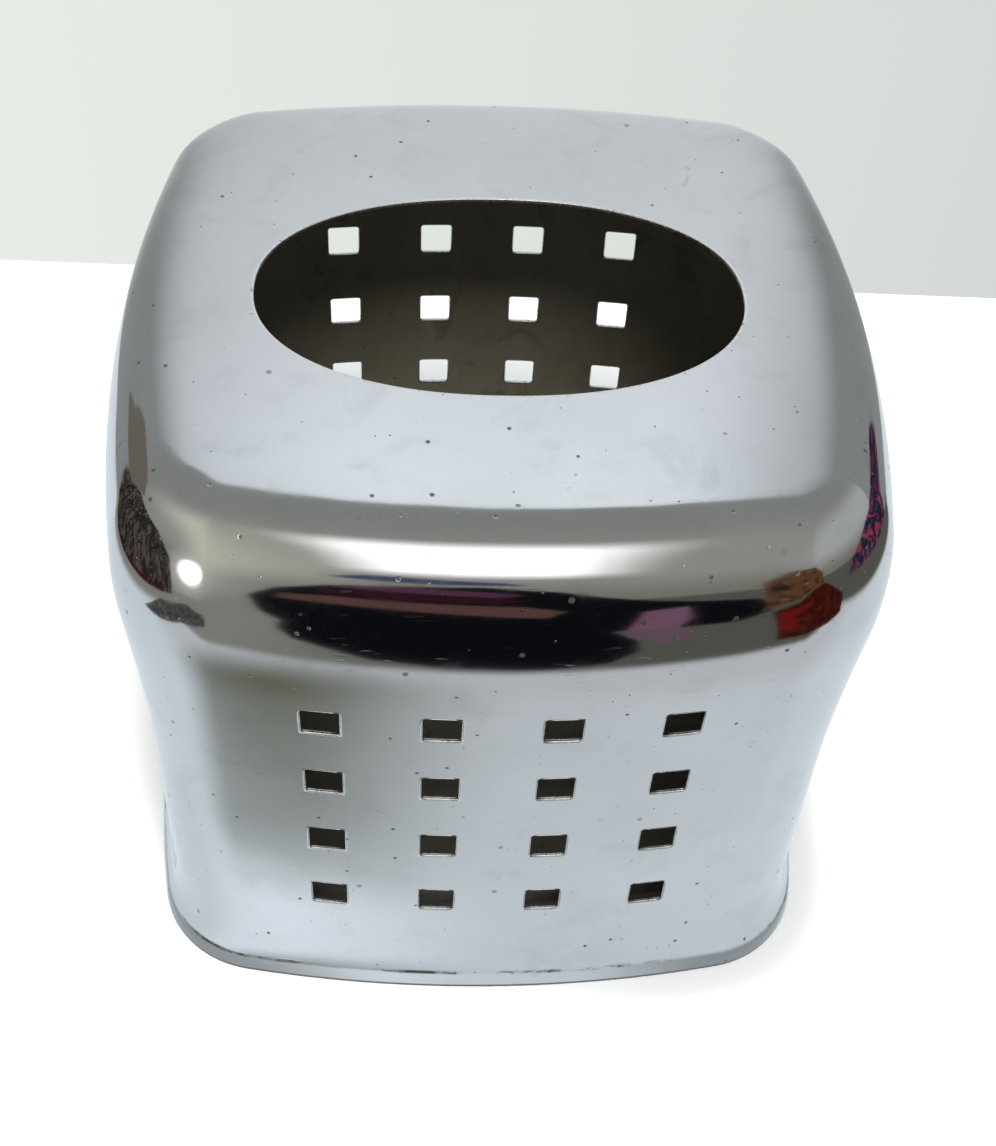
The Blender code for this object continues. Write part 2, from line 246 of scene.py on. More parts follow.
def cover_column(station, heights):
    """All points of one station: outer face from foot to mouth, then the inner face back."""
    share = math.sin(2.0 * station[3]) ** 2
    outer, inner = section(share)
    flat = int(np.argmax(outer[:, 1] > OVERALL_HEIGHT - FLAT_TOLERANCE))
    start = int(np.argmax(outer[:, 1] > heights[-1]))
    picks = np.linspace(start + 1, flat, SHOULDER_ROWS)
    index = np.arange(len(outer))
    outer_bend, inner_bend = (
        [cover_point(station, outset, height)
         for outset, height in zip(np.interp(picks, index, face[:, 0]),
                                   np.interp(picks, index, face[:, 1]))]
        for face in (outer, inner))
    edge_x, edge_y, _ = outer_bend[-1]
    bottom = OVERALL_HEIGHT - SHEET
    rim = [(*mouth_point(edge_x, edge_y, EDGE_ROUND * away), OVERALL_HEIGHT - EDGE_ROUND * down)
           for away, down in ROUND_STEPS]
    rim += [(*mouth_point(edge_x, edge_y, EDGE_ROUND * away), bottom + EDGE_ROUND * down)
            for away, down in ROUND_STEPS[::-1]]
    support = mouth_point(edge_x, edge_y, EDGE_ROUND + MOUTH_SUPPORT)
    top_shares = [(step / TOP_ROWS) ** TOP_CROWDING for step in range(1, TOP_ROWS)]
    foot_reach = max(outset for outset, _ in FOOT_CURVE)

    column = [cover_point(station, outset, height) for outset, height in FOOT_CURVE]
    column += [cover_point(station, np.interp(height, outer[:, 1], outer[:, 0]), height)
               for height in heights]
    column += outer_bend
    column += [tuple(Vector(outer_bend[-1]).lerp(Vector(rim[0]), along)) for along in top_shares]
    column.append((*support, OVERALL_HEIGHT))
    column += rim
    column.append((*support, bottom))
    column += [tuple(Vector(inner_bend[-1]).lerp(Vector(rim[-1]), along))
               for along in top_shares[::-1]]
    column += inner_bend[::-1]
    column += [cover_point(station, np.interp(height, inner[:, 1], inner[:, 0]), height)
               for height in heights[::-1]]
    for outset, height in FOOT_CURVE[::-1]:
        rounding = EDGE_ROUND if height == 0.0 else 0.0
        column.append(cover_point(station, min(outset, foot_reach) - SHEET + rounding, height))
    return column


# ---------------------------------------------------------------- mesh of the cover

def hole_columns(places, side, hole_x):
    """The stations of one wall that cross a column of holes."""
    turn = side * math.pi / 2.0
    return [index for index, (_, _, radius, angle, place_turn) in enumerate(places)
            if radius == SIDE_BOW_RADIUS and place_turn == turn
            and abs(SIDE_BOW_RADIUS * math.sin(angle) - hole_x) < HOLE_EDGE + NEAR]


def hole_loop(cols, lines, mirror):
    """Round one hole: each point's column, and its row on the outer and on the inner face."""
    return ([(cols[0], line, mir) for line, mir in zip(lines[:-1], mirror[:-1])]
            + [(col, lines[-1], mirror[-1]) for col in cols[:-1]]
            + [(cols[-1], line, mir) for line, mir in zip(lines[:0:-1], mirror[:0:-1])]
            + [(col, lines[0], mirror[0]) for col in cols[:0:-1]])


def hole_corner(x, z):
    """Centre of the hole's corner arc nearest to (x, z), and the direction from it to (x, z)."""
    straight = HOLE_EDGE - HOLE_CORNER
    core_x = max(-straight, min(straight, x))
    core_z = max(-straight, min(straight, z))
    away = math.hypot(x - core_x, z - core_z)
    return core_x, core_z, (x - core_x) / away, (z - core_z) / away


def pierce(verts, loop, count, centre_x, centre_z, y_sign):
    """Move one hole's points to its rounded outline; add and return its edge through the sheet."""
    outer_ring = [line * count + col for col, line, _ in loop]
    inner_ring = [mirror * count + col for col, _, mirror in loop]
    corners = [hole_corner(verts[at][0] - centre_x, verts[at][2] - centre_z) for at in outer_ring]

    def outline_point(corner, radius, y):
        core_x, core_z, out_x, out_z = corner
        return (centre_x + core_x + radius * out_x, y, centre_z + core_z + radius * out_z)

    for ring in (outer_ring, inner_ring):
        for at, corner in zip(ring, corners):
            verts[at] = outline_point(corner, HOLE_CORNER, verts[at][1])
    rings = [outer_ring]
    for closed, depth in HOLE_PROFILE:
        rings.append(list(range(len(verts), len(verts) + len(loop))))
        verts += [outline_point(corner, HOLE_CORNER - EDGE_ROUND * closed,
                                verts[at][1] - y_sign * depth)
                  for at, corner in zip(outer_ring, corners)]
    rings.append(inner_ring)
    faces = []
    for first, second in zip(rings, rings[1:]):
        for here in range(len(loop)):
            after = (here + 1) % len(loop)
            faces.append((first[here], first[after], second[after], second[here]))
    return faces


def new_object(name, verts, faces, materials, face_materials):
    mesh = bpy.data.meshes.new(name)
    mesh.from_pydata([(x * MM, y * MM, z * MM) for x, y, z in verts], [], faces)
    for material in materials:
        mesh.materials.append(material)
    mesh.polygons.foreach_set("material_index", face_materials)
    mesh.validate()
    mesh.update()
    mesh.shade_smooth()
    item = bpy.data.objects.new(name, mesh)
    bpy.context.scene.collection.objects.link(item)
    return item


def build_cover(materials):
    """One closed mesh: bright outer face, dull inner face, and rounded cut edges."""
    places = stations()
    heights = row_heights()
    columns = [cover_column(station, heights) for station in places]
    count = len(places)
    rows = len(columns[0])
    verts = [columns[col][row] for row in range(rows) for col in range(count)]
    removed = set()
    hole_faces = []
    for side, y_sign in PIERCED_SIDES:
        for hole_x in HOLE_X:
            cols = hole_columns(places, side, hole_x)
            for hole_z in HOLE_Z:
                lines = [len(FOOT_CURVE) + k for k, z in enumerate(heights)
                         if abs(z - hole_z) < HOLE_EDGE + NEAR]
                mirror = [rows - 1 - line for line in lines]
                for col in cols[:-1]:
                    for line, mir in zip(lines[:-1], mirror[:-1]):
                        removed.add((line, col))
                        removed.add((mir - 1, col))
                centre_x = sum(verts[lines[0] * count + col][0]
                               for col in (cols[0], cols[-1])) / 2.0
                hole_faces += pierce(verts, hole_loop(cols, lines, mirror), count,
                                     centre_x, hole_z, y_sign)
    outer_rows = len(FOOT_CURVE) + len(heights) + SHOULDER_ROWS + TOP_ROWS
    rim_rows = 2 * len(ROUND_STEPS)
    faces = []
    kinds = []
    for row in range(rows):
        above = (row + 1) % rows
        if row < outer_rows - 1:
            kind = OUTSIDE
        elif row < outer_rows + rim_rows or row == rows - 1:
            kind = CUT
        else:
            kind = INSIDE
        for col in range(count):
            if (row, col) in removed:
                continue
            after = (col + 1) % count
            faces.append((row * count + col, row * count + after,
                          above * count + after, above * count + col))
            kinds.append(kind)
    faces += hole_faces
    kinds += [CUT] * len(hole_faces)
    return new_object("cover_skin", verts, faces, materials, kinds)


# ---------------------------------------------------------------- node trees

class Nodes:
    """A node tree under construction, with the operations that all the materials share."""

    def __init__(self, tree, coordinates):
        self.tree = tree
        self.coordinates = tree.nodes.new("ShaderNodeTexCoord").outputs[coordinates]

    def link(self, value, socket):
        if isinstance(value, bpy.types.NodeSocket):
            self.tree.links.new(value, socket)
        elif isinstance(value, tuple) and len(value) == 3 and socket.type == "RGBA":
            socket.default_value = (*value, 1.0)
        else:
            socket.default_value = value

    def place(self, scale=(1.0, 1.0, 1.0), turn=(0.0, 0.0, 0.0)):
        mapping = self.tree.nodes.new("ShaderNodeMapping")
        self.link(self.coordinates, mapping.inputs["Vector"])
        mapping.inputs["Rotation"].default_value = turn
        mapping.inputs["Scale"].default_value = scale
        return mapping.outputs["Vector"]

    def axis(self, name):
        node = self.tree.nodes.new("ShaderNodeSeparateXYZ")
        self.link(self.coordinates, node.inputs["Vector"])
        return node.outputs[name]

    def noise(self, scale, detail=3.0, rough=0.5, distortion=0.0, at=None):
        node = self.tree.nodes.new("ShaderNodeTexNoise")
        self.link(at or self.coordinates, node.inputs["Vector"])
        node.inputs["Scale"].default_value = scale
        node.inputs["Detail"].default_value = detail
        node.inputs["Roughness"].default_value = rough
        node.inputs["Distortion"].default_value = distortion
        return node.outputs["Fac"]

    def specks(self, scale, size, chosen):
        """Scattered round specks: 1 in the middle of one, 0 outside; chosen: share of cells."""
        cell = self.tree.nodes.new("ShaderNodeTexVoronoi")
        self.link(self.coordinates, cell.inputs["Vector"])
        cell.inputs["Scale"].default_value = scale
        inside = self.band(cell.outputs["Distance"], size, size * 0.45, 0.0, 1.0)
        split = self.tree.nodes.new("ShaderNodeSeparateColor")
        self.link(cell.outputs["Color"], split.inputs["Color"])
        return self.times(inside, self.math("LESS_THAN", split.outputs["Red"], chosen))

    def band(self, value, low, high, out_low=0.0, out_high=1.0, smooth=True):
        """Out_low at low, out_high at high, an even or smooth change between, level beyond."""
        node = self.tree.nodes.new("ShaderNodeMapRange")
        node.interpolation_type = "SMOOTHSTEP" if smooth else "LINEAR"
        for socket, amount in zip(("Value", "From Min", "From Max", "To Min", "To Max"),
                                  (value, low, high, out_low, out_high)):
            self.link(amount, node.inputs[socket])
        return node.outputs["Result"]

    def math(self, operation, first, second=0.0):
        node = self.tree.nodes.new("ShaderNodeMath")
        node.operation = operation
        self.link(first, node.inputs[0])
        self.link(second, node.inputs[1])
        return node.outputs["Value"]

    def times(self, first, second):
        return self.math("MULTIPLY", first, second)

    def total(self, *values):
        out = values[0]
        for value in values[1:]:
            out = self.math("ADD", out, value)
        return out

    def mix(self, factor, first, second):
        """A colour: the first where the factor is 0, the second where it is 1."""
        node = self.tree.nodes.new("ShaderNodeMix")
        node.data_type = "RGBA"
        self.link(factor, node.inputs["Factor"])
        self.link(first, node.inputs["A"])
        self.link(second, node.inputs["B"])
        return node.outputs["Result"]

    def bell(self, centre_x, centre_y, spread_x, spread_y):
        """A soft round blot on X and Y, in metres: 1 in the middle, 0 beyond its spread."""
        across = self.math("DIVIDE", self.math("SUBTRACT", self.axis("X"), centre_x), spread_x)
        along = self.math("DIVIDE", self.math("SUBTRACT", self.axis("Y"), centre_y), spread_y)
        far = self.math("SQRT", self.total(self.times(across, across), self.times(along, along)))
        return self.band(far, 1.0, 0.0)

    def ray(self, kind):
        return self.tree.nodes.new("ShaderNodeLightPath").outputs[kind]

    def glow(self, colour, strength=1.0):
        node = self.tree.nodes.new("ShaderNodeEmission")
        self.link(colour, node.inputs["Color"])
        self.link(strength, node.inputs["Strength"])
        return node.outputs["Emission"]

    def clear(self):
        return self.tree.nodes.new("ShaderNodeBsdfTransparent").outputs["BSDF"]

    def blend(self, factor, first, second):
        """A shader: the first where the factor is 0, the second where it is 1."""
        node = self.tree.nodes.new("ShaderNodeMixShader")
        self.link(factor, node.inputs["Fac"])
        self.link(first, node.inputs[1])
        self.link(second, node.inputs[2])
        return node.outputs["Shader"]


class Finish(Nodes):
    """A material under construction, on the Principled shader."""

    def __init__(self, name, colour=(0.8, 0.8, 0.8), metallic=0.0, roughness=0.5):
        self.material = bpy.data.materials.new(name)
        self.material.use_nodes = True
        super().__init__(self.material.node_tree, "Object")
        self.bsdf = self.tree.nodes["Principled BSDF"]
        self.bsdf.inputs["Base Color"].default_value = (*colour, 1.0)
        self.bsdf.inputs["Metallic"].default_value = metallic
        self.bsdf.inputs["Roughness"].default_value = roughness

    def finish(self, colour, roughness, height, metallic=None):
        """Height is the relief, in metres."""
        self.link(colour, self.bsdf.inputs["Base Color"])
        self.link(roughness, self.bsdf.inputs["Roughness"])
        if metallic is not None:
            self.link(metallic, self.bsdf.inputs["Metallic"])
        bump = self.tree.nodes.new("ShaderNodeBump")
        bump.inputs["Distance"].default_value = 1.0
        self.link(height, bump.inputs["Height"])
        self.link(bump.outputs["Normal"], self.bsdf.inputs["Normal"])
        return self.material

    def surface(self, shader):
        self.link(shader, self.tree.nodes["Material Output"].inputs["Surface"])
        return self.material

    def unlit(self, shader):
        """Show only this shader, and drop the Principled one."""
        self.tree.nodes.remove(self.bsdf)
        return self.surface(shader)


# ---------------------------------------------------------------- finishes of the product

# Heights on the cover, in metres, where each mark of wear or painted shade starts and where it is
# full
SCRATCHES = (0.1331, 0.1315)
CREASE_BELOW = (0.0041, 0.0046)
CREASE_ABOVE = (0.0053, 0.0048)
# Painted shade on the foot band, darker towards the corners
SKIRT_SHADE = (0.0052, 0.0042)
RIM_SHADE = (0.0012, 0.0006)
# Tarnish along the bottom rim, darkened into a painted shade line where the rim meets the floor
RIM_DIRT_AND_SHADE = (0.0011, 0.0005)
# The product of |x| and |y|, in square metres, from mid-wall to corner
TOWARDS_CORNER = (0.0014, 0.0038)
# Relief of the finishes, in metres
CHROME_WAVE, CHROME_GRAIN, CHROME_PITS, CHROME_CUTS = 0.00016, 0.0000008, -0.00003, -0.0000035
INSIDE_GRAIN, INSIDE_PITS, INSIDE_WAVE = 0.000006, -0.00003, 0.00008
SATIN_LINES, SATIN_PITS, SATIN_WAVE = 0.000004, -0.00002, 0.00006
EDGE_BURR = 0.00002
RUBBER_GRAIN = 0.00003


def scratch_layer(s, turn, patch_scale, length_scale, width_scale, threshold):
    """Sparse fine scratches running along one direction of the surface."""
    at = s.place(scale=(length_scale, width_scale, width_scale * 0.35), turn=turn)
    lines = s.noise(1.0, 1.0, 0.4, at=at)
    patches = s.band(s.noise(patch_scale, 2.0), 0.45, 0.62)
    return s.times(s.band(lines, threshold, threshold + 0.05), patches)


def chrome_material():
    """Worn chrome: smudges, scratches, tarnish specks, pits, grime in the crease of the foot,
    painted shade on the foot band, and tarnish with a painted shade line along the bottom rim.
    """
    s = Finish("worn_chrome", (0.66, 0.665, 0.675), 1.0, 0.08)
    height = s.axis("Z")
    cloud = s.noise(34.0, 5.0, 0.6)
    smudge = s.band(s.noise(75.0, 6.0, 0.62, 0.6), 0.50, 0.72)
    haze = s.band(s.noise(16.0, 3.0, 0.5), 0.35, 0.7)
    stains = s.times(s.band(s.noise(95.0, 5.0, 0.7, 1.2), 0.66, 0.72), 0.5)
    scratches = s.total(scratch_layer(s, (0.0, 0.0, 0.35), 20.0, 60.0, 2600.0, 0.70),
                        scratch_layer(s, (0.2, 0.3, -0.9), 24.0, 80.0, 3200.0, 0.71),
                        scratch_layer(s, (0.9, 0.1, 1.5), 18.0, 70.0, 2900.0, 0.71))
    scratches = s.times(scratches, s.band(height, *SCRATCHES, 0.15, 1.0))

    specks = s.times(s.specks(190.0, 0.105, 0.48), 0.85)
    spots = s.times(s.specks(110.0, 0.085, 0.30), 0.55)
    dust = s.times(s.specks(420.0, 0.10, 0.25), 0.8)
    crease = s.times(s.band(height, *CREASE_BELOW), s.band(height, *CREASE_ABOVE))
    broken = s.band(s.noise(55.0, 6.0, 0.75, at=s.place(scale=(1.0, 1.0, 3.0))), 0.47, 0.60)
    patchy = s.band(s.noise(120.0, 4.0, 0.7), 0.25, 0.50, 0.45, 1.0)
    # Tarnish along the bottom rim, darkened into a painted shade line where the rim meets the floor
    rim = s.times(s.times(s.band(height, *RIM_DIRT_AND_SHADE), patchy), 0.8)
    dirt_and_rim_shade = s.math("MAXIMUM", s.times(crease, broken), rim)
    marks = s.math("MAXIMUM", s.total(specks, spots, dust), dirt_and_rim_shade)

    diagonal = s.times(s.math("ABSOLUTE", s.axis("X")), s.math("ABSOLUTE", s.axis("Y")))
    # Painted shade on the foot band, darker towards the corners
    skirt_shade = s.times(s.band(height, *SKIRT_SHADE), s.times(s.band(diagonal, *TOWARDS_CORNER), 0.7))
    colour = s.mix(s.band(cloud, 0.3, 0.7), (0.655, 0.660, 0.672), (0.62, 0.626, 0.632))
    colour = s.mix(s.times(smudge, 0.35), colour, (0.50, 0.505, 0.50))
    colour = s.mix(stains, colour, (0.42, 0.42, 0.42))
    # Painted shade: the foot band towards the corners, then the bottom rim
    colour = s.mix(skirt_shade, colour, (0.16, 0.165, 0.165))
    colour = s.mix(s.band(height, *RIM_SHADE), colour, (0.10, 0.10, 0.10))
    # Specks, dust, grime in the crease, and the bottom rim's tarnish with its painted shade line
    colour = s.mix(marks, colour, (0.075, 0.068, 0.060))

    roughness = s.total(0.055, s.times(haze, 0.03), s.times(smudge, 0.05),
                        s.times(scratches, 0.08), s.times(marks, 0.35))
    relief = s.total(s.times(s.noise(28.0, 2.0, 0.4), CHROME_WAVE),
                     s.times(s.noise(2200.0, 3.0, 0.6), CHROME_GRAIN),
                     s.times(marks, CHROME_PITS), s.times(scratches, CHROME_CUTS))
    return s.finish(colour, roughness, relief, s.band(marks, 0.0, 1.0, 1.0, 0.88))


def inner_material():
    """Unplated inside of the cover: dull brown-grey steel with water marks."""
    s = Finish("dull_inside", (0.20, 0.185, 0.15), 0.45, 0.5)
    cloud = s.noise(26.0, 6.0, 0.65)
    drips = s.noise(1.0, 4.0, 0.6, at=s.place(scale=(120.0, 120.0, 14.0)))
    specks = s.specks(170.0, 0.075, 0.5)
    blotch = s.band(s.noise(60.0, 5.0, 0.7, 1.0), 0.56, 0.66)
    colour = s.mix(s.band(cloud, 0.3, 0.7), (0.185, 0.168, 0.118), (0.240, 0.222, 0.170))
    colour = s.mix(s.times(s.band(drips, 0.45, 0.75), 0.5), colour, (0.27, 0.25, 0.19))
    colour = s.mix(s.times(blotch, 0.45), colour, (0.11, 0.095, 0.07))
    colour = s.mix(specks, colour, (0.05, 0.04, 0.03))
    relief = s.total(s.times(s.noise(900.0, 4.0, 0.6), INSIDE_GRAIN),
                     s.times(specks, INSIDE_PITS), s.times(cloud, INSIDE_WAVE))
    return s.finish(colour, s.band(cloud, 0.25, 0.75, 0.42, 0.58), relief,
                    s.band(specks, 0.0, 1.0, 0.45, 0.1))


def edge_material():
    """Cut edges of the sheet: plated but rough, with burrs and dark spots."""
    s = Finish("cut_edge", (0.72, 0.72, 0.71), 1.0, 0.28)
    burr = s.noise(1500.0, 4.0, 0.7)
    grime = s.band(s.noise(420.0, 5.0, 0.7), 0.56, 0.68)
    colour = s.mix(s.times(grime, 0.75), (0.74, 0.74, 0.735), (0.16, 0.14, 0.11))
    return s.finish(colour, s.band(burr, 0.3, 0.7, 0.20, 0.42), s.times(burr, EDGE_BURR))


def satin_material(name, colour, dark, low, high):
    """Mill-finished metal: fine rolling lines one way, faint clouds, handling marks and specks."""
    s = Finish(name, colour, 1.0, (low + high) / 2.0)
    lines = s.noise(1.0, 3.0, 0.7, at=s.place(scale=(9.0, 700.0, 700.0)))
    cloud = s.noise(45.0, 5.0, 0.6)
    specks = s.specks(230.0, 0.07, 0.5)
    marks = s.band(s.noise(130.0, 5.0, 0.7, 0.8), 0.60, 0.70)
    shaded = tuple(channel * 0.82 for channel in colour)
    lit = tuple(min(1.0, channel * 1.25) for channel in colour)
    tint = s.mix(s.band(cloud, 0.3, 0.7), colour, shaded)
    tint = s.mix(s.times(s.band(lines, 0.40, 0.75), 0.35), tint, lit)
    tint = s.mix(s.math("MAXIMUM", specks, s.times(marks, 0.4)), tint, dark)
    roughness = s.total(s.band(lines, 0.2, 0.8, low, high), s.times(marks, 0.1))
    relief = s.total(s.times(lines, SATIN_LINES), s.times(specks, SATIN_PITS),
                     s.times(cloud, SATIN_WAVE))
    return s.finish(tint, roughness, relief)


def rubber_material():
    """Moulded black rubber, dusty, with a fine sandy grain."""
    s = Finish("black_rubber", (0.02, 0.02, 0.02), 0.0, 0.75)
    dust = s.band(s.noise(260.0, 6.0, 0.7), 0.48, 0.70)
    colour = s.mix(s.times(dust, 0.6), (0.018, 0.018, 0.019), (0.085, 0.080, 0.074))
    return s.finish(colour, s.band(dust, 0.0, 1.0, 0.62, 0.88),
                    s.times(s.noise(2600.0, 3.0, 0.6), RUBBER_GRAIN))


# ---------------------------------------------------------------- studio

# What only the gloss of the chrome sees: a dim room round the table.
# Name, colour and corners in millimetres.
REFLECTED_SHAPES = (
    ("dark_lap", (0.004, 0.005, 0.007), (
        (-114, -300, 1), (-104, -262, 1), (-97, -242, 1), (-85, -218, 1), (-64, -200, 1),
        (-45, -186, 1),
        (-15, -180, 1), (25, -178, 1), (50, -184, 1), (66, -205, 1), (74, -240, 1), (75, -300, 1))),
    ("dark_figure", (0.004, 0.005, 0.007), (
        (-114, -300, 0), (-124, -300, 30), (-129, -300, 80), (-112, -300, 120), (-84, -300, 152),
        (-45, -300, 170), (0, -300, 180), (40, -300, 158), (66, -300, 128), (95, -300, 104),
        (119, -300, 92), (158, -300, 78), (168, -300, 30), (150, -300, 0))),
    ("rose_band", (0.125, 0.062, 0.055), (
        (-112, -299, 82), (-45, -299, 76), (-4, -299, 68), (34, -299, 60), (44, -299, 82),
        (20, -299, 100), (-30, -299, 104), (-80, -299, 107), (-110, -299, 100))),
    ("plum_band", (0.105, 0.035, 0.075), (
        (-84, -299, 146), (-50, -299, 142), (10, -299, 134), (20, -299, 146), (0, -299, 158),
        (-40, -299, 166), (-72, -299, 160))),
    ("wine_band", (0.035, 0.008, 0.014), (
        (-90, -299, 118), (0, -299, 110), (24, -299, 120), (10, -299, 130), (-86, -299, 136))),
    ("blue_band", (0.06, 0.075, 0.16), (
        (-86, -298, 198), (-40, -298, 188), (24, -298, 190), (10, -298, 206), (-40, -298, 220),
        (-64, -298, 224))),
    ("mauve_patch", (0.21, 0.105, 0.165), (
        (82, -299, 0), (112, -299, 0), (118, -299, 34), (112, -299, 78), (88, -299, 70))),
    ("mauve_fold", (0.16, 0.10, 0.13), (
        (78, -300, 2), (76, -244, 2), (80, -222, 2), (94, -226, 2), (104, -244, 2),
        (112, -300, 2))),
    ("red_corner", (0.17, 0.009, 0.010), (
        (121, -189, 20), (142, -187, 30), (140, -187, 84), (113, -189, 64))),
    ("left_brown", (0.175, 0.155, 0.130), (
        (-301, 20, 262), (-301, 110, 330), (-301, 250, 330), (-301, 300, 250), (-301, 250, 150),
        (-301, 130, 120), (-301, 70, 200))),
    ("left_red", (0.05, 0.008, 0.010), (
        (-292, -180, 8), (-292, 60, 0), (-292, 60, 14), (-292, -180, 18))),
)
# Name, colours of the ground, patches and spots, scale of the patches, and corners in millimetres
CLUTTER = (
    ("red_box", (0.042, 0.007, 0.004), (0.085, 0.014, 0.008), (0.11, 0.03, 0.016), 38.0, (
        (124, -190, 0), (160, -184, 0), (196, -166, 0), (240, -150, 0), (240, -150, 44),
        (196, -176, 92), (178, -184, 104), (135, -188, 100), (110, -190, 68))),
    ("orange_lid", (0.14, 0.060, 0.022), (0.022, 0.011, 0.008), (0.62, 0.60, 0.55), 95.0, (
        (107, -191, 74), (135, -190, 102), (178, -186, 106), (176, -187, 136), (150, -191, 160),
        (118, -193, 156), (104, -193, 130))),
    ("left_shelf", (0.020, 0.017, 0.015), (0.12, 0.095, 0.075), (0.30, 0.31, 0.35), 34.0, (
        (-300, -226, 0), (-300, 150, 0), (-300, 130, 120), (-300, 70, 200), (-300, 30, 240),
        (-300, -105, 205), (-300, -194, 127), (-300, -222, 40))),
    ("right_shelf", (0.016, 0.018, 0.045), (0.32, 0.05, 0.09), (0.20, 0.22, 0.34), 26.0, (
        (300, -150, 62), (300, 60, 56), (300, 200, 120), (300, 160, 190), (300, 60, 225),
        (300, -40, 190), (300, -130, 110))),
    ("corner_bowl", (0.055, 0.052, 0.05), (0.16, 0.15, 0.14), (0.015, 0.012, 0.012), 60.0, (
        (-215, -80, 1), (-262, -150, 1), (-236, -250, 1), (-150, -246, 1), (-128, -206, 1),
        (-176, -166, 1), (-196, -112, 1))),
)
# Places and sizes in the studio, in metres
FLOOR_HALF = 3.0
FLOOR_DROP = 0.0001
LAMP_HALF = 0.19
LAMP_PLACE = (-0.275, -0.31, 0.118)
BOARD_PLACE = (0.0, 0.178, 0.0)
BOARD_OUTLINE = (
    (-0.80, 0.0), (0.80, 0.0), (0.80, 0.34), (0.30, 0.38), (0.10, 0.385), (0.0, 0.39),
    (-0.09, 0.373), (-0.13, 0.355), (-0.24, 0.325), (-0.33, 0.15), (-0.80, 0.13))
CAMERA_PLACE = (-0.01831, -0.26045, 0.33599)
# The contact shade on the floor: where it ends and where it is full, in metres
CONTACT = (0.091, 0.0765)
# Where the table ends in gloss: beyond it and on it, in metres
TABLE_FRONT = (-0.181, -0.168)
TABLE_LEFT = (-0.27, -0.23)
TABLE_RIGHT = (0.30, 0.26)
# The window in gloss, outside and inside each edge: bottom and top as angles in radians from
# straight ahead over the top towards the viewer, left and right as the X of the direction
WINDOW_TOP = (1.42, 1.86)
WINDOW_BOTTOM = (2.76, 2.52)
WINDOW_LEFT = (-0.23, -0.07)
WINDOW_RIGHT = (0.30, 0.10)
# Angles in degrees, lens and sensor in millimetres
CAMERA_HEADING = -4.73
CAMERA_BELOW_LEVEL = 47.34
CAMERA_ROLL = 3.91
CAMERA_LENS = 52.7
CAMERA_SENSOR = 36.0
BOARD_TURN = -2.0
LAMP_TURN = -42.0
# Name, size, place and aim in metres, and power in watts
LIGHTS = (("overhead", 1.6, (0.1, 0.25, 1.5), (0.0, 0.0, 0.0), 5.0),
          ("window_light", 0.40, (0.05, -0.60, 1.20), (0.0, 0.0, 0.05), 22.0))


def stage_mesh(name, points, material):
    """One polygon of the studio, its corners in metres."""
    mesh = bpy.data.meshes.new(name)
    mesh.from_pydata(points, [], [tuple(range(len(points)))])
    mesh.materials.append(material)
    item = bpy.data.objects.new(name, mesh)
    bpy.context.scene.collection.objects.link(item)
    return item


def square(half, height):
    return [(-half, -half, height), (half, -half, height), (half, half, height),
            (-half, half, height)]


def reflected_only(item):
    """The shape is seen in gloss only: it neither lights the floor nor shows to the camera."""
    item.visible_camera = False
    item.visible_diffuse = False
    item.visible_transmission = False
    item.visible_volume_scatter = False
    item.visible_shadow = False


def plain_glow(name, colour):
    s = Finish(name)
    return s.unlit(s.glow(colour))


def clutter_material(name, ground, patch, spot, scale):
    """Glow of an untidy shelf: broken patches and small spots on a dark ground."""
    s = Finish(name)
    at = s.place(scale=(1.0, 2.2, 0.7))
    broad = s.band(s.noise(scale, 4.0, 0.6, 1.5, at=at), 0.52, 0.56)
    small = s.band(s.noise(scale * 2.3, 3.0, 0.6, 2.0), 0.64, 0.67)
    return s.unlit(s.glow(s.mix(small, s.mix(broad, ground, patch), spot)))


def lamp_material():
    """A bare lamp and the soft glare round it."""
    s = Finish("left_lamp")
    core = s.bell(0.0, 0.0, 0.088, 0.080)
    halo = s.bell(0.0, 0.0, 0.185, 0.165)
    glow = s.glow((1.0, 1.0, 0.95), s.total(s.times(core, 9.0), 0.75))
    return s.unlit(s.blend(s.math("MAXIMUM", core, halo), s.clear(), glow))


def floor_material():
    """Pale table.  In gloss it ends a hand's breadth in front of the object, dim at the left."""
    s = Finish("pale_floor", (0.87, 0.87, 0.87), 0.0, 0.6)
    x, y = s.axis("X"), s.axis("Y")
    grey = s.mix(s.band(s.noise(7.0, 3.0, 0.5), 0.3, 0.7), (0.862, 0.866, 0.870),
                 (0.885, 0.885, 0.885))
    shade = s.bell(-0.175, -0.180, 0.12, 0.075)
    grey = s.mix(s.times(shade, 0.95), grey, (0.34, 0.34, 0.335))
    # The contact shade follows the foot: a square with rounded corners
    reach = s.math("POWER", s.total(s.math("POWER", s.math("ABSOLUTE", x), 5.0),
                                    s.math("POWER", s.math("ABSOLUTE", y), 5.0)), 0.2)
    contact = s.times(s.band(reach, *CONTACT), s.band(x, -0.02, 0.05, 0.3, 0.6))
    s.link(s.mix(contact, grey, (0.22, 0.22, 0.225)), s.bsdf.inputs["Base Color"])

    # In gloss the table is a painted reflection: lighter nearer the object, a painted shadow at the
    # front left and a painted highlight just in front of the object
    table = s.mix(s.band(y, -0.150, -0.085), (0.66, 0.69, 0.72), (0.77, 0.85, 0.90))
    table = s.mix(s.bell(-0.070, -0.130, 0.088, 0.060), table, (0.17, 0.18, 0.135))
    table = s.mix(s.bell(-0.048, -0.082, 0.060, 0.017), table, (1.00, 1.08, 1.16))
    beyond = s.mix(s.band(x, -0.12, 0.02), (0.29, 0.29, 0.255), (0.115, 0.115, 0.098))
    inside = s.times(s.band(y, *TABLE_FRONT),
                     s.times(s.band(x, *TABLE_LEFT), s.band(x, *TABLE_RIGHT)))
    mirrored = s.glow(s.mix(inside, beyond, table))
    return s.surface(s.blend(s.ray("Is Glossy Ray"), s.bsdf.outputs["BSDF"], mirrored))


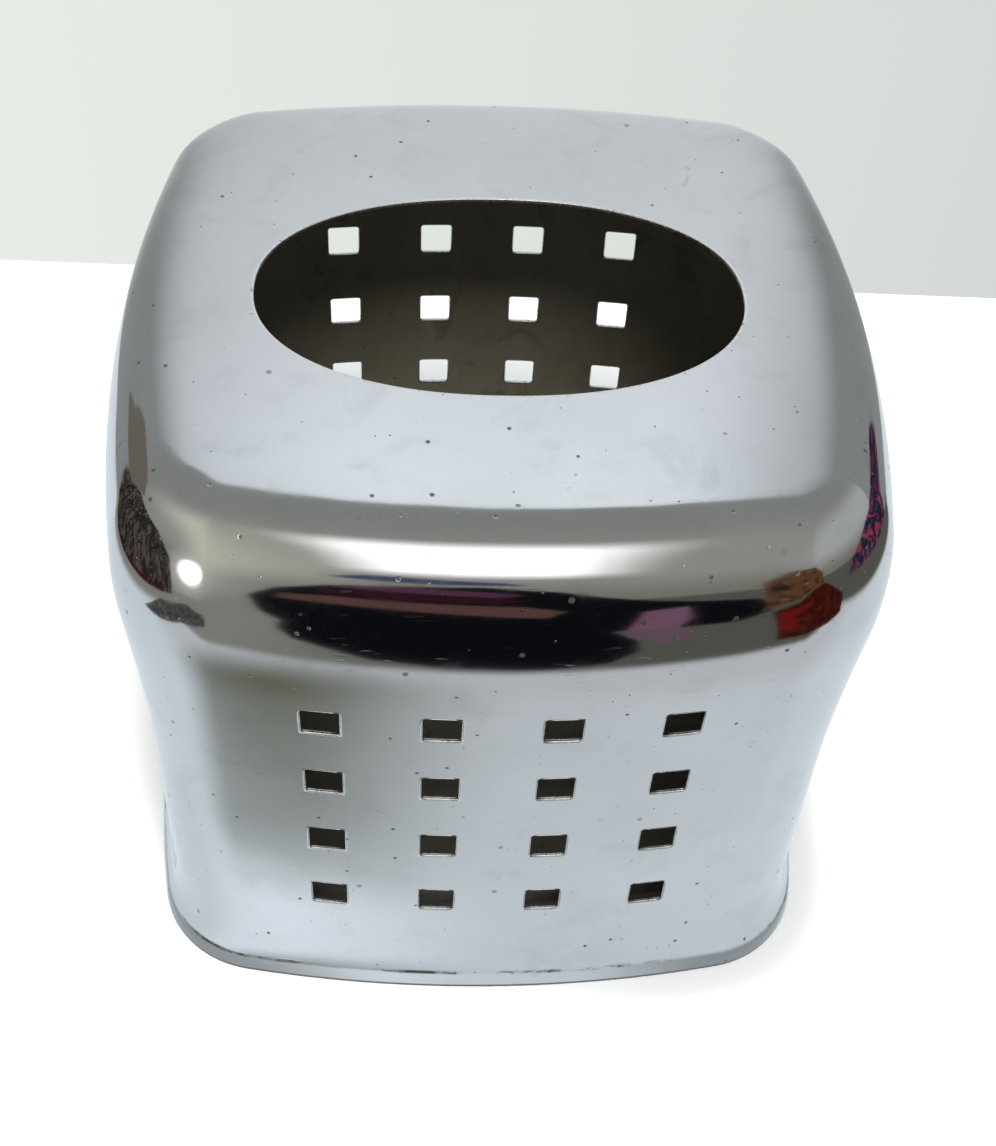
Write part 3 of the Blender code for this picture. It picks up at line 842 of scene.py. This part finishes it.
def board_material():
    """Pale board behind the object, seen only from its front.  It glows with painted light: to the
    camera lighter at the left and darker at the right, and in gloss a painted reflection, brighter
    higher up and dim towards both ends.
    """
    s = Finish("pale_board")
    x, y = s.axis("X"), s.axis("Y")
    # Painted light: the board seen by the camera is lighter at the left and darker at the right
    seen = s.mix(s.band(x, -0.17, 0.19, smooth=False), (0.815, 0.860, 0.805),
                 (0.645, 0.685, 0.655))
    # Painted reflection in gloss: brighter higher up, dim towards both ends
    mirrored = s.mix(s.band(y, 0.22, 0.36, smooth=False), (0.80, 0.835, 0.86),
                     (1.04, 1.11, 1.17))
    ends = s.math("MAXIMUM", s.band(x, -0.02, -0.205), s.band(x, 0.065, 0.175))
    mirrored = s.mix(ends, mirrored, (0.30, 0.32, 0.32))
    glow = s.glow(s.mix(s.ray("Is Camera Ray"), mirrored, seen))
    facing = s.tree.nodes.new("ShaderNodeNewGeometry")
    return s.unlit(s.blend(facing.outputs["Backfacing"], glow, s.clear()))


def build_world():
    """Soft even light; in gloss, a dim warm ceiling with a bright window high in front."""
    world = bpy.data.worlds.new("soft_room")
    bpy.context.scene.world = world
    world.use_nodes = True
    s = Nodes(world.node_tree, "Generated")
    x, y, z = s.axis("X"), s.axis("Y"), s.axis("Z")
    turned = s.math("ARCTAN2", z, y)
    room = s.mix(s.band(turned, 0.85, 1.9), (0.285, 0.300, 0.285), (0.37, 0.365, 0.33))
    room = s.mix(s.band(x, 0.42, 0.70), room, (0.50, 0.52, 0.51))
    room = s.mix(s.band(z, 0.45, -0.05), room, (0.24, 0.235, 0.20))
    left = s.math("SUBTRACT", 1.0,
                  s.band(s.math("ABSOLUTE", s.math("ADD", x, 0.50)), 0.0, 0.40))
    left = s.times(s.times(left, s.band(y, 0.5, 0.0)), s.band(z, -0.15, 0.35))
    room = s.mix(s.times(left, 0.8), room, (0.76, 0.75, 0.62))
    window = s.times(s.times(s.band(turned, *WINDOW_TOP), s.band(turned, *WINDOW_BOTTOM)),
                     s.times(s.band(x, *WINDOW_LEFT), s.band(x, *WINDOW_RIGHT)))
    room = s.mix(window, room, (2.1, 2.1, 2.08))
    s.link(s.mix(s.ray("Is Glossy Ray"), (0.80, 0.81, 0.80), room),
           s.tree.nodes["Background"].inputs["Color"])


def build_lights():
    """Soft lights, none of them seen in gloss."""
    for name, size, place, aim, power in LIGHTS:
        lamp = bpy.data.lights.new(name, "AREA")
        lamp.shape = "SQUARE"
        lamp.size = size
        lamp.energy = power
        item = bpy.data.objects.new(name, lamp)
        bpy.context.scene.collection.objects.link(item)
        item.location = place
        item.rotation_euler = (Vector(aim) - Vector(place)).to_track_quat("-Z", "Y").to_euler()
        item.visible_glossy = False


def build_camera():
    data = bpy.data.cameras.new("view")
    data.lens = CAMERA_LENS
    data.sensor_width = CAMERA_SENSOR
    camera = bpy.data.objects.new("view", data)
    bpy.context.scene.collection.objects.link(camera)
    heading, below, roll = (
        math.radians(angle) for angle in (CAMERA_HEADING, CAMERA_BELOW_LEVEL, CAMERA_ROLL))
    turn = (Matrix.Rotation(heading, 4, "Z") @ Matrix.Rotation(math.pi / 2.0 - below, 4, "X")
            @ Matrix.Rotation(roll, 4, "Z"))
    camera.matrix_world = Matrix.Translation(CAMERA_PLACE) @ turn
    bpy.context.scene.camera = camera


def build_studio():
    stage_mesh("floor", square(FLOOR_HALF, -FLOOR_DROP), floor_material())
    board = stage_mesh("board", [(x, y, 0.0) for x, y in BOARD_OUTLINE], board_material())
    board.location = BOARD_PLACE
    board.rotation_euler = (math.pi / 2.0, 0.0, math.radians(BOARD_TURN))
    lamp = stage_mesh("left_lamp", square(LAMP_HALF, 0.0), lamp_material())
    lamp.location = LAMP_PLACE
    lamp.rotation_euler = (math.pi / 2.0, 0.0, math.radians(LAMP_TURN))
    reflected_only(lamp)
    shapes = [(name, points, plain_glow(name, colour)) for name, colour, points in REFLECTED_SHAPES]
    shapes += [(name, points, clutter_material(name, ground, patch, spot, scale))
               for name, ground, patch, spot, scale, points in CLUTTER]
    for name, points, material in shapes:
        reflected_only(stage_mesh(name, [(x * MM, y * MM, z * MM) for x, y, z in points], material))


# ---------------------------------------------------------------- product

BEVEL_SEGMENTS = 3
# Degrees
BEVEL_ANGLE = 35.0


def soften(item, width):
    """Round the edges of a part of the base; the width is in millimetres."""
    bevel = item.modifiers.new("rounded_edges", "BEVEL")
    bevel.width = width * MM
    bevel.segments = BEVEL_SEGMENTS
    bevel.limit_method = "ANGLE"
    bevel.angle_limit = math.radians(BEVEL_ANGLE)
    bevel.harden_normals = True


cover = build_cover([chrome_material(), inner_material(), edge_material()])
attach(cover, "cover")
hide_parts("cover_shell")

# The parts of the base: start of the node's name, finish, and rounding of the edges
BASE_PARTS = (
    ("base_plate",
     satin_material("satin_base", (0.30, 0.285, 0.25), (0.06, 0.05, 0.04), 0.34, 0.52), 0.12),
    ("base_clip",
     satin_material("spring_strip", (0.42, 0.43, 0.44), (0.08, 0.07, 0.06), 0.22, 0.38), 0.07),
    ("clip_rivet",
     satin_material("rivet_finish", (0.66, 0.66, 0.66), (0.15, 0.14, 0.13), 0.30, 0.45), 0.07),
    ("rubber_foot", rubber_material(), 0.25),
)
for node_name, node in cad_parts.items():
    for start, finish, rounding in BASE_PARTS:
        if node_name.startswith(start):
            node.data.materials.clear()
            node.data.materials.append(finish)
            soften(node, rounding)

build_world()
build_lights()
build_camera()
build_studio()
bpy.context.scene.view_settings.view_transform = "Standard"
